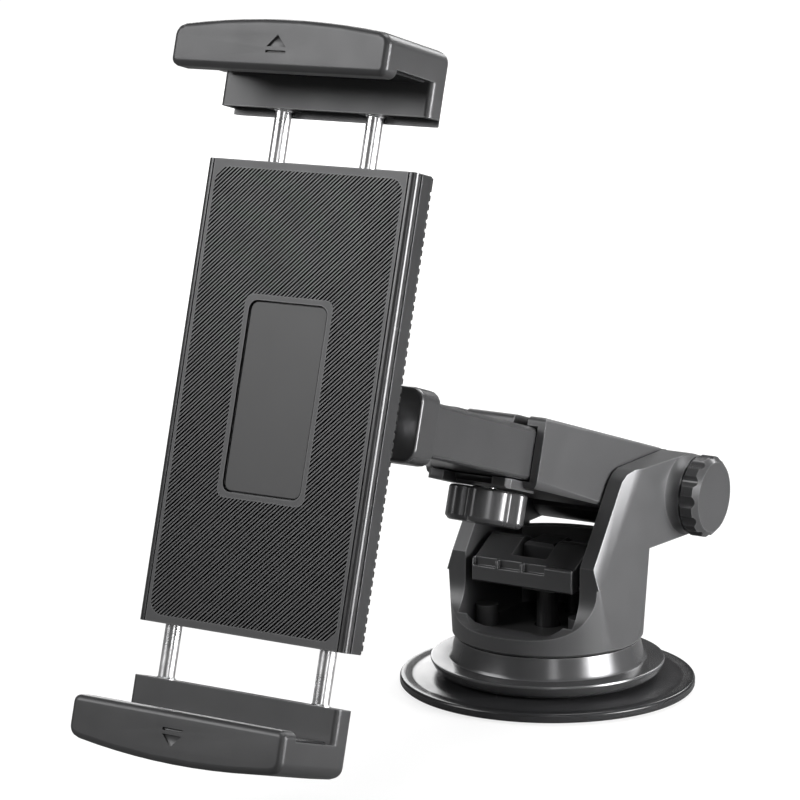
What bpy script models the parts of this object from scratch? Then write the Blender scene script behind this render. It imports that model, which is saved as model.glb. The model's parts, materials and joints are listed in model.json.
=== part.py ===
"""Suction-foot mount with a telescopic arm, a ball joint and a sprung two-jaw holder.

All sizes are in millimetres and become metres as each mesh is made. +Z is up, the
holder faces -Y, and the suction cup stands on the plane z = 0.

Frames: the foot is built in the world frame. The arm is built in the frame of ARM,
whose origin is the arm pivot and whose -Y runs along the arm. The holder is built in
the frame of HOLDER, whose origin is the centre of the ball, with +Z up the plate and
-Y out of its face.
"""

from math import asin, cos, degrees, pi, radians, sin, sqrt, tan

import bmesh
import bpy
from mathutils import Matrix, Vector

MM = 0.001
GAP = 0.3

# Suction foot
CUP_R = 39.0
CUP_EDGE = 2.6
CUP_TOP = 3.4
CUP_WALL = 2.2
PAD_R = CUP_R - 2.0
PAD_T = 1.2
HOUSING_R = 25.2
RING_R = HOUSING_R + 5.7
RING_FOOT_R = HOUSING_R + 2.8
RING_SHELF_R = HOUSING_R + 0.8
RING_SHELF_Z = 7.6
RING_NECK_R = HOUSING_R - 0.9
RING_TOP = 13.3
RING_WEB_T = 2.4
SCREW_R = 1.2
SCREW_HEAD_R = 2.3
SCREW_HEAD_T = 2.0
SCREW_TIP = 19.4
SCREWS = [(16.0 * cos(radians(a)), 16.0 * sin(radians(a))) for a in (90, 210, 330)]

# Housing
HOUSING_Z = RING_TOP + GAP
HOUSING_R_TOP = HOUSING_R + 1.4
FLOOR_T = 2.2
REAR_WALL_Z = 36.8
SLEEVE_HALF = 16.3
EAR_IN = SLEEVE_HALF + 0.7
MOUTH_X = EAR_IN - 1.0
MOUTH_ROUND = 7.0
CAVITY_REAR = HOUSING_R - 1.6
CAVITY_FRONT = 0.6 - sqrt(HOUSING_R**2 - EAR_IN**2)
MOUTH_Z = 18.4
SCOOP_R = 11.8
SCOOP_Y = -HOUSING_R - 0.6
SCOOP_Z = 29.8
SIDE_X = HOUSING_R + 0.21
SIDE_PER_Y = 0.088
SIDE_PER_Z = -0.048
EAR_BEVEL_OUT = HOUSING_R - 2.2
EAR_BEVEL_IN = EAR_BEVEL_OUT - 2.0
EAR_BEVEL_BACK = 5.0
EAR_R = 10.8
EAR_SLOPE = 53.0
EAR_FOOT = 31.0
BOSS_R = 10.5
BOSS_END = HOUSING_R + 2.7
BOSS_FLARE = 5.0

# Arm pivot
PIVOT_Y = 30.0
PIVOT_Z = 48.2
ARM_PITCH = 17.6
BOLT_R = 3.0
NUT_R = 4.8
NUT_IN = HOUSING_R - 4.0
NUT_T = 4.0
WASHER_R = 7.6
WASHER_T = 0.8
KNOB_IN = BOSS_END + GAP
KNOB_R = 10.8
KNOB_FACE_R = 9.4
KNOB_RIM = KNOB_IN + 3.8
KNOB_OUT = KNOB_RIM + 1.4
KNOB_FLUTES = 12

# Lever and lift stem
LEVER_Y = -3.0
LEVER_Z = 35.0
LEVER_HALF = EAR_IN - 2.2
LEVER_FRONT = -14.5
LEVER_BAR_LOW = 29.0
LEVER_BAR_TOP = 35.4
LEVER_BAR_T = 4.0
LEVER_SWING = 45.0
HUB_R = 4.8
CRANK = 2.5
CRANK_PIN_R = 1.2
STUB_R = 1.5
STUB_IN = 9.0
STUB_OUT = HOUSING_R - 4.2
STEM_R = 3.0
STEM_HALF_X = 4.5
STEM_HALF_Y = 5.0
FOOT_R = 6.0
FOOT_T = 2.5
FOOT_Z = 6.2

# Sleeve, in the arm frame: s runs along the arm, v runs up from it
SLEEVE_TOP = 11.2
SLEEVE_LOW = -7.3
SLEEVE_END = 67.4
SLEEVE_BORE_S = 12.4
SLEEVE_ROUND = 2.4
SLEEVE_EDGE = 1.5
NOTCH_X = 9.0
NOTCH_W = 4.1
NOTCH_L = 8.0
TONGUE_END = 74.0
TONGUE_X_IN = 7.5
TONGUE_X_OUT = 12.0
TONGUE_LOW = -8.0
LOCK_S = 62.1
LOCK_R = 10.1
LOCK_TOP = TONGUE_LOW - 0.4
LOCK_LOW = -17.4
LOCK_TURN = 33.0
LOCK_DIP = 2.6
LOCK_BOLT_R = 2.0

# Inner arm and cap
INNER_HALF = SLEEVE_HALF - 2.5
INNER_TOP = SLEEVE_TOP - 2.8
INNER_LOW = SLEEVE_LOW + 2.1
INNER_WALL = 1.8
INNER_REAR = 40.0
INNER_END = 120.0
CAP_HALF = INNER_HALF + 1.7
CAP_TOP = INNER_TOP + 2.5
CAP_LOW = INNER_LOW - 2.5
CAP_END = INNER_END + 9.0
CAP_PLUG = 8.0

# Ball joint
BALL_S = CAP_END + 20.0
BALL_V = 1.6
BALL_R = 7.5
NECK_R = 3.6
SHANK_R = 2.4
FLANGE_R = 7.0
FLANGE_T = 2.2
LINER_T = 0.9
SOCKET_WALL = 1.3
LOCK_RING_WALL = 1.5
BALL_TILT = 17.0
COLLAR_FROM = 90.0
SEAT_TO = COLLAR_FROM - BALL_TILT - 3.0

# Holder plate: r runs across, n out of the face, and u up the plate
BALL_BACK = 18.0
YAW = -7.22
LEAN = 16.79
ROLL = 2.25
PLATE_HALF = 31.15
PLATE_H = 55.5
PLATE_D = 6.4
FRAME_WALL = 2.2
RAIL_ROUND = 1.3
PANEL_HALF = PLATE_HALF - 2.15
PANEL_T = 0.6
LABEL_HALF = 11.6
LABEL_H = 22.6
LABEL_T = 0.8
LABEL_CORNER = 2.2
LABEL_SINK = 0.45
FACE_WALL = 1.4
LABEL_WALL = 2.0
END_WALL = 2.6
COVER_T = 1.0
GUIDE_T = 6.6
ROD_R = 2.0
ROD_N = -4.3
ROD_LENGTH = 105.0
UPPER_ROD_R = 13.7
LOWER_ROD_R = 23.4
COLLAR_R = 2.4

# Jaws
JAW_HALF = 32.0
JAW_BACK_HALF = 30.9
JAW_BACK = -7.5
JAW_BACK_ROUND = 2.0
BLOCK_FRONT = -1.2
BLOCK_ROUND = 1.5
ROOF_LOW = 76.6
BLOCK_LOW = ROOF_LOW - 8.2
JAW_EDGE = ROOF_LOW + 7.6
JAW_CROWN = JAW_EDGE + 2.3
LIP_IN = 13.5
LIP_OUT = 18.2
LIP_LOW = ROOF_LOW - 2.3
LIP_ROUND = 3.0
LIP_EDGE = 1.6
LIP_FOOT_ROUND = 2.0
UPPER_SKIRT = 1.4
SKIRT_WALL = 1.1
SEAT_T = 1.2
SEAT_HALF = 30.0
ROD_TOP = BLOCK_LOW + 11.6
COLLAR_LOW = BLOCK_LOW - 0.4
COLLAR_TOP = BLOCK_LOW + 1.8

SPRING_WIRE = 0.7


# Materials

def material(name, colour, metallic=0.0, roughness=0.5):
    found = bpy.data.materials.get(name)
    if found:
        return found
    made = bpy.data.materials.new(name)
    made.use_nodes = True
    shader = made.node_tree.nodes["Principled BSDF"]
    shader.inputs["Base Color"].default_value = (*colour, 1.0)
    shader.inputs["Metallic"].default_value = metallic
    shader.inputs["Roughness"].default_value = roughness
    return made


LOOKS = {
    "grey_plastic": ((0.16, 0.16, 0.16), 0.0, 0.5),
    "dark_plastic": ((0.05, 0.05, 0.05), 0.0, 0.55),
    "black_rubber": ((0.02, 0.02, 0.02), 0.0, 0.8),
    "clear_gel": ((0.10, 0.10, 0.11), 0.0, 0.3),
    "chromed_steel": ((0.75, 0.75, 0.76), 1.0, 0.12),
    "steel": ((0.45, 0.45, 0.46), 1.0, 0.35),
    "spring_steel": ((0.35, 0.35, 0.36), 1.0, 0.3),
    "nylon": ((0.55, 0.54, 0.50), 0.0, 0.5),
}


# Shapes

def loft(sections):
    """A closed mesh through loops of points that have the same count."""
    bm = bmesh.new()
    rings = [[bm.verts.new(p) for p in section] for section in sections]
    for first, second in zip(rings, rings[1:]):
        for i in range(len(first)):
            j = (i + 1) % len(first)
            bm.faces.new((first[i], first[j], second[j], second[i]))
    bm.faces.new(rings[0][::-1])
    bm.faces.new(rings[-1])
    bmesh.ops.recalc_face_normals(bm, faces=bm.faces)
    return bm


def place(axis, a, b, along):
    """The point at a and b across an axis: (y, z) for x, (x, z) for y, (x, y) for z."""
    if axis == "x":
        return (along, a, b)
    if axis == "y":
        return (a, along, b)
    return (a, b, along)


def prism(outline, low, high, axis):
    return loft([[place(axis, a, b, end) for a, b in outline] for end in (low, high)])


def box(low, high):
    outline = [(low[0], low[1]), (high[0], low[1]), (high[0], high[1]), (low[0], high[1])]
    return prism(outline, low[2], high[2], "z")


def lathe(profile, axis="z", centre=(0.0, 0.0), steps=32):
    """Turns a profile of (radius, height) about an axis.

    A profile that starts and ends at radius 0 is solid. One that doesn't is a ring.
    """
    bm = bmesh.new()
    solid = profile[0][0] < 1e-6
    rings = []
    for radius, height in profile[1:-1] if solid else profile:
        ring = []
        for i in range(steps):
            a = 2 * pi * i / steps
            point = place(axis, centre[0] + radius * cos(a), centre[1] + radius * sin(a), height)
            ring.append(bm.verts.new(point))
        rings.append(ring)
    pairs = list(zip(rings, rings[1:]))
    if not solid:
        pairs.append((rings[-1], rings[0]))
    for first, second in pairs:
        for i in range(steps):
            j = (i + 1) % steps
            bm.faces.new((first[i], first[j], second[j], second[i]))
    if solid:
        ends = ((rings[0], profile[0][1], profile[1][1]), (rings[-1], profile[-1][1], profile[-2][1]))
        for ring, tip, edge in ends:
            if abs(tip - edge) < 1e-6:
                bm.faces.new(ring)
                continue
            peak = bm.verts.new(place(axis, centre[0], centre[1], tip))
            for i in range(steps):
                bm.faces.new((ring[i], ring[(i + 1) % steps], peak))
    bmesh.ops.recalc_face_normals(bm, faces=bm.faces)
    return bm


def rod(radius, low, high, axis="z", centre=(0.0, 0.0), steps=24):
    return lathe([(0, low), (radius, low), (radius, high), (0, high)], axis, centre, steps)


def arc(centre, radius, start, end, count):
    """Points on a circle from start to end, in degrees."""
    points = []
    for i in range(count + 1):
        a = radians(start + (end - start) * i / count)
        points.append((centre[0] + radius * cos(a), centre[1] + radius * sin(a)))
    return points


def rounded(x0, y0, x1, y1, radius, count=3):
    """A rectangle's outline with rounded corners, anticlockwise."""
    points = []
    corners = ((x1, y1, 0), (x0, y1, 90), (x0, y0, 180), (x1, y0, 270))
    for x, y, start in corners:
        cx = x - radius if x == x1 else x + radius
        cy = y - radius if y == y1 else y + radius
        points += arc((cx, cy), radius, start, start + 90, count)
    return points


def coil(radius, wire, low, high, turns, centre, sides=5, steps=10):
    """A helical wire about a line along z."""
    count = int(turns * steps)
    rings = []
    for i in range(count + 1):
        a = 2 * pi * i / steps
        height = low + wire + (high - low - 2 * wire) * i / count
        ring = []
        for j in range(sides):
            b = 2 * pi * j / sides
            reach = radius + wire * cos(b)
            point = (centre[0] + reach * cos(a), centre[1] + reach * sin(a), height + wire * sin(b))
            ring.append(point)
        rings.append(ring)
    return loft(rings)


def bevel(bm, width, segments, wanted):
    """Bevels the edges whose two ends both satisfy the test."""
    edges = [e for e in bm.edges if wanted(e.verts[0].co) and wanted(e.verts[1].co)]
    bmesh.ops.bevel(
        bm, geom=edges, offset=width, segments=segments, profile=0.5, affect="EDGES"
    )
    return bm


def moved(bm, matrix):
    bmesh.ops.transform(bm, matrix=matrix, verts=bm.verts)
    if matrix.determinant() < 0:
        bmesh.ops.reverse_faces(bm, faces=bm.faces)
    return bm


def raw(name, bm):
    mesh = bpy.data.meshes.new(name)
    bm.to_mesh(mesh)
    bm.free()
    made = bpy.data.objects.new(name, mesh)
    bpy.context.scene.collection.objects.link(made)
    return made


def combine(target, operation, shapes):
    """Joins shapes to a piece or cuts them from it, one after another."""
    for bm in shapes:
        tool = raw("tool", bm)
        step = target.modifiers.new(operation, "BOOLEAN")
        step.operation = operation
        step.solver = "EXACT"
        step.object = tool
        graph = bpy.context.evaluated_depsgraph_get()
        mesh = bpy.data.meshes.new_from_object(target.evaluated_get(graph))
        target.modifiers.clear()
        target.data = mesh
        bpy.data.objects.remove(tool)
    return target


def piece(name, bm, look, frame=None, join=(), cut=(), smooth=40.0):
    """One physical piece: a first shape, shapes joined to it, shapes cut from it."""
    made = raw(name, bm)
    combine(made, "UNION", join)
    combine(made, "DIFFERENCE", cut)
    return finish(made, look, frame, smooth)


def finish(made, look, frame=None, smooth=40.0):
    """Takes a shape from millimetres to metres and gives it its material and frame."""
    made.data.transform(Matrix.Scale(MM, 4))
    made.data.name = made.name
    made.data.materials.clear()
    made.data.materials.append(material(look, *LOOKS[look]))
    made.data.shade_smooth()
    made.data.set_sharp_from_angle(angle=radians(smooth))
    if frame:
        made.parent = frame
    return made


def empty(name, matrix):
    made = bpy.data.objects.new(name, None)
    made.empty_display_size = 0.02
    made.matrix_world = matrix
    bpy.context.scene.collection.objects.link(made)
    return made


# Suction foot

def gel_pad():
    profile = [(0, 0), (PAD_R - 0.3, 0), (PAD_R, GAP), (PAD_R, PAD_T), (0, PAD_T)]
    return piece("gel_pad", lathe(profile, steps=48), "clear_gel")


def foot_pocket():
    """Radius, floor and ceiling of the pocket that holds the stem's foot."""
    floor = PAD_T + GAP + CUP_WALL
    ceiling = FOOT_Z + FOOT_T + GAP
    return FOOT_R + GAP, floor, ceiling


def suction_cup():
    pocket_r, floor, ceiling = foot_pocket()
    boss_r = pocket_r + 2.3
    boss_top = ceiling + 1.5
    recess = PAD_T + GAP
    lip = PAD_R + GAP
    profile = [
        (0, recess), (lip, recess), (lip, 0.2), (CUP_R - 0.4, 0.2), (CUP_R, 0.6),
        (CUP_R, CUP_EDGE - 0.3), (CUP_R - 0.5, CUP_EDGE), (RING_R - 0.9, CUP_TOP),
        (boss_r + 1.0, CUP_TOP), (boss_r, CUP_TOP + 1.0), (boss_r, boss_top - 0.5),
        (boss_r - 0.5, boss_top), (STEM_R + 2 * GAP, boss_top), (STEM_R + 2 * GAP, ceiling),
        (pocket_r, ceiling), (pocket_r, floor), (0, floor),
    ]
    return piece("suction_cup", lathe(profile, steps=48), "black_rubber")


def base_ring():
    low = CUP_TOP + GAP
    boss_r = foot_pocket()[0] + 2.3
    hole = boss_r + 2 * GAP
    web = RING_TOP - RING_WEB_T
    profile = [
        (RING_FOOT_R, low), (RING_FOOT_R + 2.0, low + 1.5), (RING_R - 0.2, low + 2.7),
        (RING_R, RING_SHELF_Z - 0.5), (RING_R - 0.4, RING_SHELF_Z), (RING_SHELF_R, RING_SHELF_Z),
        (RING_NECK_R, RING_TOP), (hole, RING_TOP), (hole, web), (RING_NECK_R - 2.3, web),
        (RING_SHELF_R - 2.2, RING_SHELF_Z - 1.0), (RING_FOOT_R - 3.0, low),
    ]
    bores = [rod(SCREW_R + GAP, web - 1, RING_TOP + 1, centre=c, steps=12) for c in SCREWS]
    return piece("base_ring", lathe(profile, steps=48), "dark_plastic", cut=bores)


def base_screws():
    top = RING_TOP - RING_WEB_T - GAP
    for i, centre in enumerate(SCREWS):
        low = top - SCREW_HEAD_T
        profile = [
            (0, low), (SCREW_HEAD_R - 0.4, low), (SCREW_HEAD_R, low + 0.6), (SCREW_HEAD_R, top),
            (SCREW_R, top), (SCREW_R, SCREW_TIP - 0.8), (0, SCREW_TIP),
        ]
        piece(f"base_screw_{i + 1}", lathe(profile, centre=centre, steps=12), "steel")


def cup_spring():
    boss_r = foot_pocket()[0] + 2.3
    low = CUP_TOP + GAP
    high = RING_TOP - RING_WEB_T - GAP
    shape = coil(boss_r + 2.2, 0.6, low, high, 3.0, (0, 0), sides=5, steps=14)
    return piece("cup_spring", shape, "spring_steel")


# Housing

def side_x(y, z):
    return SIDE_X + SIDE_PER_Y * y + SIDE_PER_Z * z


def ear_toe():
    """Where the ears' sloping front edge starts, in y and z."""
    return SCOOP_Y + SCOOP_R, 36.4


def ear_outline():
    """An ear's outline in y and z: sloping front, flat top, round rear."""
    top = PIVOT_Z + EAR_R
    low = PIVOT_Z - EAR_R
    toe = ear_toe()
    crest = toe[0] + (top - toe[1]) / tan(radians(EAR_SLOPE))
    reach = 3.2
    lean = radians(EAR_SLOPE)
    points = [(toe[0] - 0.5, EAR_FOOT), (toe[0] - 0.5, toe[1]), toe]
    points.append((crest - reach * cos(lean), top - reach * sin(lean)))
    points += [(crest + 0.1 * reach, top - 0.26 * reach), (crest + reach, top)]
    points += arc((PIVOT_Y, PIVOT_Z), EAR_R, 90, -90, 16)
    points += [(1.0, low), (1.0, EAR_FOOT)]
    return points


def ear(sign):
    ends = sorted((sign * (EAR_IN - 1.0), sign * (EAR_BEVEL_OUT + 6.0)))
    return prism(ear_outline(), ends[0], ends[1], "x")


def bevel_tool(sign):
    """The wedge in front of the slanting strip between an ear's front edge and its side."""
    toe = ear_toe()
    corner = Vector((sign * EAR_BEVEL_IN, toe[0], toe[1]))
    up = Vector((0, cos(radians(EAR_SLOPE)), sin(radians(EAR_SLOPE))))
    across = Vector((sign * (EAR_BEVEL_OUT - EAR_BEVEL_IN), EAR_BEVEL_BACK, 0)).normalized()
    out = Vector((sign * EAR_BEVEL_BACK, EAR_BEVEL_IN - EAR_BEVEL_OUT, 0))
    out = (out - up * out.dot(up)).normalized() * 40
    flat = []
    for a, b in ((-30, -30), (60, -30), (60, 40), (-30, 40)):
        flat.append(corner + up * a + across * b)
    return loft([flat, [point + out for point in flat]])


def side_trim(sign):
    """The slab outside an ear's leaning flat face."""
    corners = []
    for y, z in ((-60, -10), (80, -10), (80, 90), (-60, 90)):
        corners.append((y, z, side_x(y, z)))
    inner = [(sign * x, y, z) for y, z, x in corners]
    outer = [(sign * 60.0, y, z) for y, z, x in corners]
    return loft([inner, outer])


def scoop_tool():
    """The finger scoop, swept across the foot."""
    outline = arc((SCOOP_Y, SCOOP_Z), SCOOP_R, -90, 0, 12)
    outline += [(SCOOP_Y + SCOOP_R, 80), (-60, 80), (-60, SCOOP_Z - SCOOP_R)]
    return prism(outline, -60, 60, "x")


def front_tool():
    """What the round body loses in front of the ears' sloping edge."""
    toe = ear_toe()
    run = 20.0 / tan(radians(EAR_SLOPE))
    outline = [toe, (toe[0] + run, toe[1] + 20.0), (-60, toe[1] + 20.0), (-60, toe[1])]
    return prism(outline, -60, 60, "x")


def cavity_tools():
    floor = HOUSING_Z + FLOOR_T
    rear = []
    for i in range(9):
        x = EAR_IN * (1 - i / 4)
        rear.append((x, sqrt(CAVITY_REAR**2 - x * x)))
    outline = [(-EAR_IN, CAVITY_FRONT), (EAR_IN, CAVITY_FRONT), *rear]
    well = prism(outline, floor, 80, "z")
    low = MOUTH_Z
    half = MOUTH_X
    mouth = [(half, 80), (-half, 80)]
    turn = MOUTH_ROUND
    mouth += arc((-half + turn, low + turn), turn, 180, 270, 4)
    mouth += arc((half - turn, low + turn), turn, 270, 360, 4)
    over = box((-EAR_IN, -60, REAR_WALL_Z), (EAR_IN, 60, 80))
    return [well, prism(mouth, -60, CAVITY_FRONT + 3.0, "y"), over]


def nut_outline(radius):
    return arc((PIVOT_Y, PIVOT_Z), radius, 0, 300, 5)


def boss_flare():
    """The concave foot of the boss on the ear's flat side, kept within the ear's outline."""
    pivot = Vector((PIVOT_Y, PIVOT_Z))
    rise = BOSS_END - 0.4 - EAR_BEVEL_OUT
    profile = [(0, EAR_BEVEL_OUT - 0.5)]
    for i in range(7):
        a = radians(15 * i)
        reach = BOSS_R + BOSS_FLARE * (1 - sin(a))
        profile.append((reach, BOSS_END - 0.4 - rise * cos(a)))
    profile.append((0, BOSS_END - 0.4))
    made = raw("flare", lathe(profile, "x", pivot, 40))
    inside = [tuple(pivot + (Vector(p) - pivot) * 0.985) for p in ear_outline()]
    combine(made, "INTERSECT", [prism(inside, EAR_BEVEL_OUT - 0.3, BOSS_END, "x")])
    shape = bmesh.new()
    shape.from_mesh(made.data)
    bpy.data.objects.remove(made)
    return shape


def base_housing():
    height = PIVOT_Z - EAR_R + 1.2 - HOUSING_Z
    lean = (HOUSING_R_TOP - HOUSING_R) / (38.0 - HOUSING_Z)
    body = [
        (0, HOUSING_Z), (HOUSING_R - 0.5, HOUSING_Z), (HOUSING_R, HOUSING_Z + 0.6),
        (HOUSING_R + lean * height, HOUSING_Z + height), (0, HOUSING_Z + height),
    ]
    made = raw("base_housing", lathe(body, steps=80))
    combine(made, "DIFFERENCE", [front_tool()])
    combine(made, "UNION", [ear(1), ear(-1)])
    cuts = [side_trim(1), side_trim(-1), bevel_tool(1), bevel_tool(-1), scoop_tool()]
    cuts += cavity_tools()
    combine(made, "DIFFERENCE", cuts)
    boss = [(0, EAR_BEVEL_OUT), (BOSS_R + 0.1, EAR_BEVEL_OUT), (BOSS_R, BOSS_END), (0, BOSS_END)]
    posts = [
        rod(SCREW_R + 1.8, HOUSING_Z + 0.5, SCREW_TIP + 2.0, centre=c, steps=12) for c in SCREWS
    ]
    pivot = (PIVOT_Y, PIVOT_Z)
    combine(made, "UNION", [boss_flare(), lathe(boss, "x", pivot, 40), *posts])
    sunk = WASHER_T + GAP - 0.4
    bores = [
        rod(STEM_R + 2 * GAP, 0, HOUSING_Z + FLOOR_T + 1, steps=20),
        rod(BOLT_R + GAP, -60, 60, "x", pivot, 20),
        rod(WASHER_R + GAP, -EAR_IN - sunk, EAR_IN + sunk, "x", pivot, 28),
        prism(nut_outline(NUT_R + GAP), -60, -NUT_IN, "x"),
        rod(STUB_R + GAP, -STUB_OUT - GAP, STUB_OUT + GAP, "x", (LEVER_Y, LEVER_Z), 16),
    ]
    bores += [rod(SCREW_R + GAP, 0, SCREW_TIP + GAP, centre=c, steps=12) for c in SCREWS]
    combine(made, "DIFFERENCE", bores)
    return finish(made, "grey_plastic", smooth=30)


# Arm pivot

def pivot_parts():
    pivot = (PIVOT_Y, PIVOT_Z)
    hex_ = prism(nut_outline(NUT_R), -NUT_IN - GAP - NUT_T, -NUT_IN - GAP, "x")
    bore = [rod(BOLT_R + GAP, -60, 60, "x", pivot, 20)]
    piece("pivot_nut", hex_, "steel", cut=bore, smooth=20)
    for name, sign in (("left", -1), ("right", 1)):
        inner = SLEEVE_HALF + GAP
        ends = [sign * inner, sign * (inner + WASHER_T)]
        disc = rod(WASHER_R, min(ends), max(ends), "x", pivot, 28)
        hole = [rod(BOLT_R + GAP, -60, 60, "x", pivot, 20)]
        piece(f"friction_washer_{name}", disc, "nylon", cut=hole)


def pivot_knob(frame):
    """The fluted hand knob, turning about the arm pivot."""
    pivot = (0.0, 0.0)
    profile = [
        (0, KNOB_IN), (KNOB_R - 0.5, KNOB_IN), (KNOB_R, KNOB_IN + 0.5), (KNOB_R, KNOB_RIM),
        (KNOB_FACE_R, KNOB_OUT), (0, KNOB_OUT),
    ]
    flutes = []
    for i in range(KNOB_FLUTES):
        a = 2 * pi * (i + 0.5) / KNOB_FLUTES
        reach = KNOB_R + 1.55
        spot = (reach * cos(a), reach * sin(a))
        flutes.append(rod(2.3, KNOB_IN - 1, KNOB_OUT + 1, "x", spot, 14))
    bore = rod(BOLT_R + GAP, KNOB_IN - 1, KNOB_RIM - 0.7, "x", pivot, 20)
    disc = lathe(profile, "x", pivot, 48)
    return piece("pivot_knob", disc, "dark_plastic", frame, cut=[*flutes, bore])


def pivot_bolt(frame):
    low = -NUT_IN - NUT_T
    high = KNOB_RIM - 0.7 - GAP
    profile = [
        (0, low), (BOLT_R - 0.5, low), (BOLT_R, low + 0.5), (BOLT_R, high), (0, high),
    ]
    return piece("pivot_bolt", lathe(profile, "x", steps=20), "steel", frame)


# Lever and lift stem

def lever_to_local(points):
    return [(y - LEVER_Y, z - LEVER_Z) for y, z in points]


def crank_spot():
    """The crank pin's centre with the lever down, from the lever's axis."""
    a = radians(LEVER_SWING / 2)
    return CRANK * cos(a), CRANK * sin(a)


def suction_lever(frame):
    low, top = LEVER_BAR_LOW, LEVER_BAR_TOP
    front = LEVER_FRONT
    side = [
        (front + LEVER_BAR_T, low), (front + 0.5, low), (front, low + 0.5), (front, top - 0.5),
        (front + 0.5, top), (front + 2.0, top),
    ]
    side += arc((LEVER_Y, LEVER_Z), HUB_R, 125, -90, 12)
    side += [(front + LEVER_BAR_T + 2.0, LEVER_Z - HUB_R), (front + LEVER_BAR_T, low + 1.5)]
    body = prism(lever_to_local(side), -LEVER_HALF, LEVER_HALF, "x")
    well = STEM_HALF_X + 2 * GAP
    channel = [(front + LEVER_BAR_T, 0), (20, 0), (20, 80), (front + LEVER_BAR_T, 80)]
    cuts = [prism(lever_to_local(channel), -well, well, "x")]
    for x in (-11.2, -3.9, 3.4):
        slot = [
            (front - 1, top - 2.2), (front + 1.4, top - 2.2), (front + 1.4, top + 1),
            (front - 1, top + 1),
        ]
        cuts.append(prism(lever_to_local(slot), x - 3.3, x + 3.3, "x"))
    y, z = crank_spot()
    cuts.append(rod(CRANK_PIN_R + GAP, -8.0, 8.0, "x", (y, z), 16))
    cuts.append(rod(STUB_R + GAP, STUB_IN - GAP, 60, "x", (0, 0), 16))
    cuts.append(rod(STUB_R + GAP, -60, GAP - STUB_IN, "x", (0, 0), 16))
    return piece("suction_lever", body, "dark_plastic", frame, cut=cuts)


def crank_pin(frame):
    shape = rod(CRANK_PIN_R, -7.7, 7.7, "x", crank_spot(), 16)
    return piece("crank_pin", shape, "steel", frame)


def lever_pins():
    spot = (LEVER_Y, LEVER_Z)
    piece("lever_pin_right", rod(STUB_R, STUB_IN, STUB_OUT, "x", spot, 16), "steel")
    piece("lever_pin_left", rod(STUB_R, -STUB_OUT, -STUB_IN, "x", spot, 16), "steel")


def lift_stem():
    y, z = crank_spot()
    y += LEVER_Y
    z += LEVER_Z
    rise = CRANK_PIN_R + GAP
    run = CRANK * (1 - cos(radians(LEVER_SWING / 2)))
    top = z + rise + 1.5
    foot = [
        (0, FOOT_Z), (FOOT_R, FOOT_Z), (FOOT_R, FOOT_Z + FOOT_T), (STEM_R, FOOT_Z + FOOT_T),
        (STEM_R, 27.0), (0, 27.0),
    ]
    head = box((-STEM_HALF_X, -STEM_HALF_Y, 26.0), (STEM_HALF_X, STEM_HALF_Y, top))
    bevel(head, 0.8, 1, lambda p: p.z > top - 0.01)
    slot = rounded(y - rise, z - rise, y + run + rise, z + rise, rise - 0.05, 4)
    cut = [prism(slot, -20, 20, "x")]
    return piece("lift_stem", lathe(foot, steps=24), "steel", join=[head], cut=cut)


# Sleeve

def arm_sleeve(frame):
    turn = -180 + degrees(asin(-SLEEVE_LOW / SLEEVE_TOP))
    outline = [(-SLEEVE_END, SLEEVE_LOW), (-SLEEVE_END, SLEEVE_TOP)]
    outline += arc((0, 0), SLEEVE_TOP, 90, turn, 24)
    body = prism(outline, -SLEEVE_HALF, SLEEVE_HALF, "x")
    bevel(body, SLEEVE_ROUND, 3, lambda p: abs(p.z - SLEEVE_LOW) < 0.01)
    bevel(body, SLEEVE_EDGE, 3, lambda p: abs(p.z - SLEEVE_TOP) < 0.01 and p.y < 0.01)
    bore_x, bore_low, bore_top = INNER_HALF + GAP, INNER_LOW - GAP, INNER_TOP + GAP
    cuts = [box((-bore_x, -100, bore_low), (bore_x, -SLEEVE_BORE_S, bore_top))]
    for sign in (-1, 1):
        x = sign * NOTCH_X
        low = (x - NOTCH_W / 2, -100, bore_top - 0.5)
        cuts.append(box(low, (x + NOTCH_W / 2, NOTCH_L - SLEEVE_END, SLEEVE_TOP + 1)))
    cuts.append(rod(BOLT_R + GAP, -60, 60, "x", steps=20))
    cuts.append(rod(LOCK_BOLT_R + GAP, -30, bore_low + 1, centre=(0, -LOCK_S), steps=16))
    return piece("arm_sleeve", body, "grey_plastic", frame, [tongue()], cuts, smooth=30)


def tongue():
    """The fork under the sleeve's mouth, on each side of the lock knob's bolt."""
    root = 7.0
    top = INNER_LOW - GAP
    outline = [(-TONGUE_X_OUT, root - SLEEVE_END), (-TONGUE_X_OUT, 1.2 - TONGUE_END)]
    outline += [(1.2 - TONGUE_X_OUT, -TONGUE_END), (0.5 - TONGUE_X_IN, -TONGUE_END)]
    outline += [(-TONGUE_X_IN, 0.5 - TONGUE_END), (-TONGUE_X_IN, 1.5 - SLEEVE_END)]
    outline += [(-x, y) for x, y in outline[::-1]]
    body = prism(outline, TONGUE_LOW, top, "z")
    return bevel(body, 0.8, 2, lambda p: p.z < TONGUE_LOW + 0.01 and p.y < 0.1 - TONGUE_END)


def lobed(lobes, big, small, count):
    """A round outline with this many broad lobes and a narrow dip between each two."""
    points = []
    for i in range(count):
        a = 2 * pi * i / count
        dip = (0.5 - 0.5 * cos(lobes * a)) ** 6
        radius = big - (big - small) * dip
        spot = a + radians(LOCK_TURN)
        points.append((radius * sin(spot), -radius * cos(spot)))
    return points


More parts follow.
